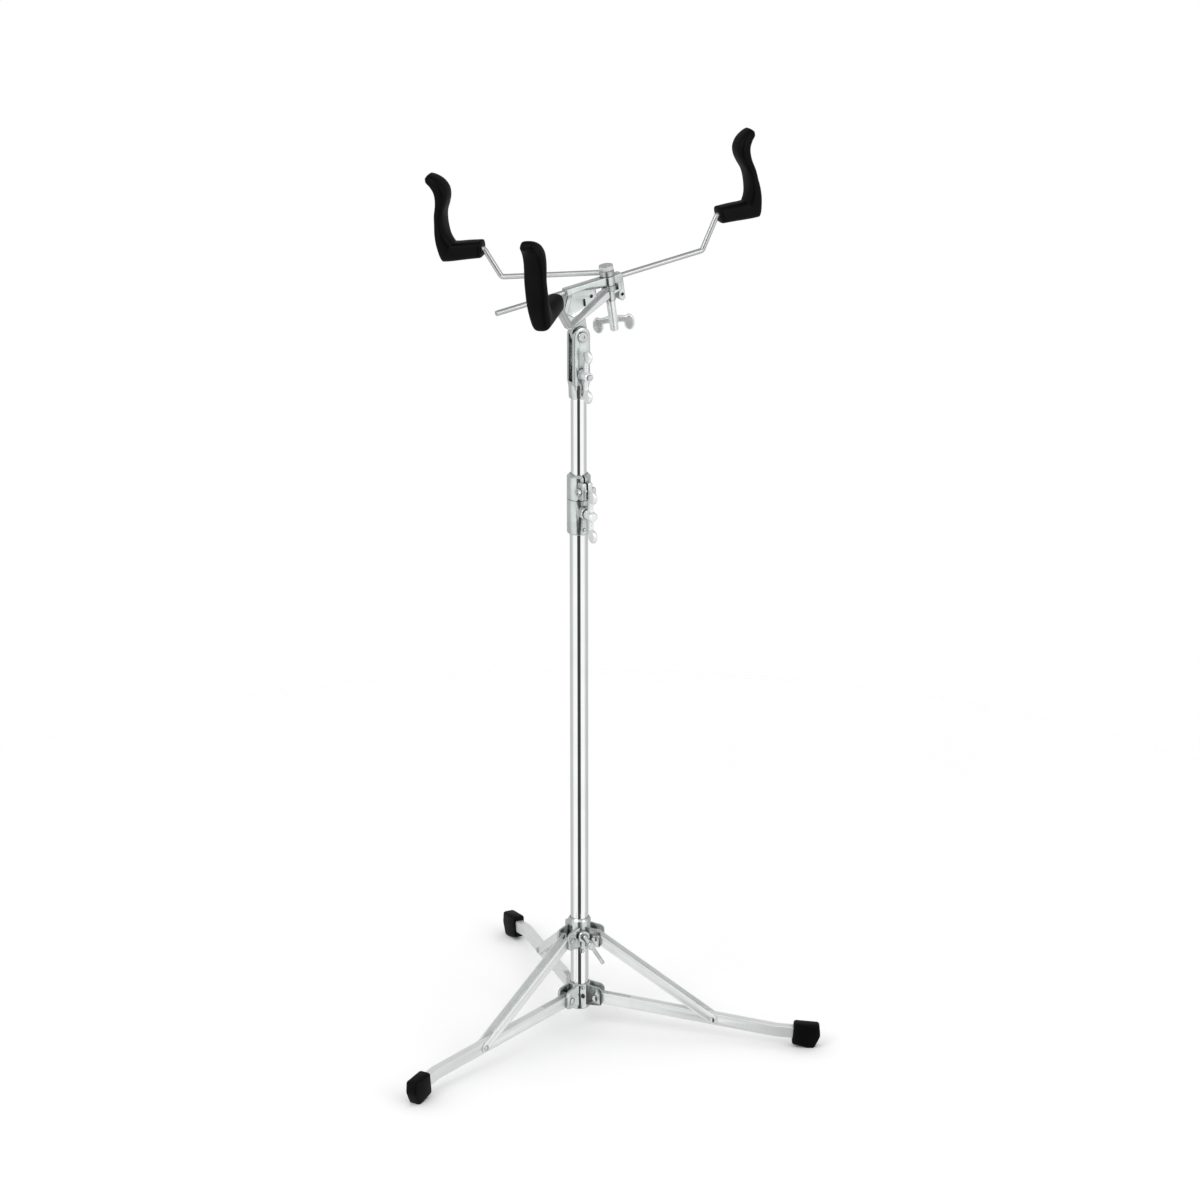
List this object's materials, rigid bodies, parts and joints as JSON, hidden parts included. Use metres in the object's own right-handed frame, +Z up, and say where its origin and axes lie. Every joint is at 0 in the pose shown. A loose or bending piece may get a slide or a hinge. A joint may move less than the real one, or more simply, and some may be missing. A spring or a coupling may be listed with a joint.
{
  "type": "tom stand",
  "caption": "Free-standing drum stand with folding legs, a telescoping mast, a tilting head and a basket of gripping arms.",
  "frame": {"origin": "on the floor, in the middle of the box that the stand fills; the mast stands 53.1 mm from it towards -X and 4.6 mm towards +Y", "axes": "+Z up along the mast, +X along the first leg"},
  "size_m": [0.5044, 0.5326, 1.1224],
  "materials": {
    "chrome": "mirror chrome plate on steel tube and rod",
    "casting": "chrome plate on castings, a little duller",
    "plate": "pale plated sheet steel",
    "steel": "plated screws and rivets",
    "brass": "plain brass",
    "dark": "blackened steel",
    "rubber": "matte black moulded rubber"
  },
  "bodies": {
    "base": {"lower_tube": "chrome", "base_hub": "casting", "hub_set_screw": "dark", "hub_rivet": "steel", "collar_stop_pin": "steel", "leg_pin_1": "steel", "leg_pin_2": "steel", "leg_pin_3": "steel", "height_clamp": "casting", "clamp_pin_back": "steel", "clamp_pin_front": "steel", "clamp_shoe": "brass"},
    "leg_body_1": {"leg_1": "plate", "foot_1": "rubber", "brace_rivet_1": "steel"},
    "leg_body_2": {"leg_2": "plate", "foot_2": "rubber", "brace_rivet_2": "steel"},
    "leg_body_3": {"leg_3": "plate", "foot_3": "rubber", "brace_rivet_3": "steel"},
    "brace_body_1": {"brace_1": "plate"},
    "brace_body_2": {"brace_2": "plate"},
    "brace_body_3": {"brace_3": "plate"},
    "collar": {"slide_collar": "casting", "collar_rivet_1_left": "steel", "collar_rivet_1_right": "steel", "collar_rivet_2_left": "steel", "collar_rivet_2_right": "steel", "collar_rivet_3_left": "steel", "collar_rivet_3_right": "steel"},
    "collar_screw": {"collar_t_screw": "steel", "collar_t_bar": "steel"},
    "clamp_screw": {"height_wing_screw": "casting"},
    "lock": {"memory_lock": "casting", "memory_lock_bolt": "steel", "memory_lock_nut": "steel"},
    "mast": {"upper_tube": "chrome", "tilter_fork": "casting", "fork_rivet": "steel", "tilt_pivot_bolt": "steel", "tilt_pivot_nut": "steel", "tilt_lock_bolt": "steel", "tilt_lock_washer": "steel"},
    "tilt_nut": {"tilt_wing_nut": "casting"},
    "basket": {"basket_casting": "casting", "basket_clamp_bolt": "steel", "basket_washer": "steel"},
    "basket_nut": {"basket_wing_nut": "casting"},
    "slide_arm_body": {"sliding_arm": "chrome", "sliding_grip": "rubber"},
    "left_arm_body": {"left_arm": "chrome", "left_grip": "rubber"},
    "front_arm_body": {"front_arm": "chrome", "front_grip": "rubber"}
  },
  "joints": [
    {"name": "collar_slide", "type": "slide", "parent": "base", "child": "collar", "axis": [0, 0, 1], "range_m": [0, 0.24306]},
    {"name": "leg_fold_1", "type": "hinge", "parent": "base", "child": "leg_body_1", "pos_m": [-0.03107, 0.00461, 0.0425], "axis": [0, -1, 0], "range_deg": [-0.1, 88.3]},
    {"name": "leg_fold_2", "type": "hinge", "parent": "base", "child": "leg_body_2", "pos_m": [-0.06407, 0.02366, 0.0425], "axis": [0.866, 0.5, 0], "range_deg": [-0.1, 88.3]},
    {"name": "leg_fold_3", "type": "hinge", "parent": "base", "child": "leg_body_3", "pos_m": [-0.06407, -0.01444, 0.0425], "axis": [-0.866, 0.5, 0], "range_deg": [-0.1, 88.3]},
    {"name": "brace_fold_1", "type": "hinge", "parent": "leg_body_1", "child": "brace_body_1", "pos_m": [0.11831, 0.00461, 0.02891], "axis": [0, -1, 0], "range_deg": [-139.7, 0.1]},
    {"name": "brace_fold_2", "type": "hinge", "parent": "leg_body_2", "child": "brace_body_2", "pos_m": [-0.13876, 0.15303, 0.02891], "axis": [0.866, 0.5, 0], "range_deg": [-139.7, 0.1]},
    {"name": "brace_fold_3", "type": "hinge", "parent": "leg_body_3", "child": "brace_body_3", "pos_m": [-0.13876, -0.14381, 0.02891], "axis": [-0.866, 0.5, 0], "range_deg": [-139.7, 0.1]},
    {"name": "collar_screw_turn", "type": "hinge", "parent": "collar", "child": "collar_screw", "pos_m": [-0.05307, 0.00461, 0.128], "axis": [0.5329, -0.8462, 0], "continuous": true},
    {"name": "clamp_screw_turn", "type": "hinge", "parent": "base", "child": "clamp_screw", "pos_m": [-0.05307, 0.00461, 0.681], "axis": [0.6717, -0.7408, 0], "continuous": true},
    {"name": "mast_swivel", "type": "hinge", "parent": "base", "child": "lock", "pos_m": [-0.05307, 0.00461, 0.6953], "axis": [0, 0, 1], "continuous": true},
    {"name": "height_slide", "type": "slide", "parent": "lock", "child": "mast", "axis": [0, 0, 1], "range_m": [-0.09, 0.3]},
    {"name": "tilt_nut_turn", "type": "hinge", "parent": "mast", "child": "tilt_nut", "pos_m": [-0.05307, 0.00461, 0.852], "axis": [0.6717, -0.7408, 0], "continuous": true},
    {"name": "basket_tilt", "type": "hinge", "parent": "mast", "child": "basket", "pos_m": [-0.05307, 0.00461, 0.898], "axis": [0.6717, -0.7408, 0], "range_deg": [-35, 65]},
    {"name": "basket_nut_turn", "type": "hinge", "parent": "basket", "child": "basket_nut", "pos_m": [-0.0179, 0.0365, 0.90509], "axis": [0.1095, 0.0993, -0.989], "continuous": true},
    {"name": "arm_slide", "type": "slide", "parent": "basket", "child": "slide_arm_body", "axis": [0.7327, 0.6643, 0.1478], "range_m": [-0.095, 0.075]},
    {"name": "left_arm_swing", "type": "hinge", "parent": "basket", "child": "left_arm_body", "pos_m": [-0.0179, 0.0365, 0.90509], "axis": [-0.1095, -0.0993, 0.989], "range_deg": [-89, 30]},
    {"name": "front_arm_swing", "type": "hinge", "parent": "basket", "child": "front_arm_body", "pos_m": [-0.0179, 0.0365, 0.90509], "axis": [-0.1095, -0.0993, 0.989], "range_deg": [-13, 75]}
  ],
  "couplings": [
    {"joint": "leg_fold_1", "follows": "collar_slide", "rad_per_m": 6.3333},
    {"joint": "leg_fold_2", "follows": "collar_slide", "rad_per_m": 6.3333},
    {"joint": "leg_fold_3", "follows": "collar_slide", "rad_per_m": 6.3333},
    {"joint": "brace_fold_1", "follows": "collar_slide", "rad_per_m": -10.02},
    {"joint": "brace_fold_2", "follows": "collar_slide", "rad_per_m": -10.02},
    {"joint": "brace_fold_3", "follows": "collar_slide", "rad_per_m": -10.02}
  ]
}
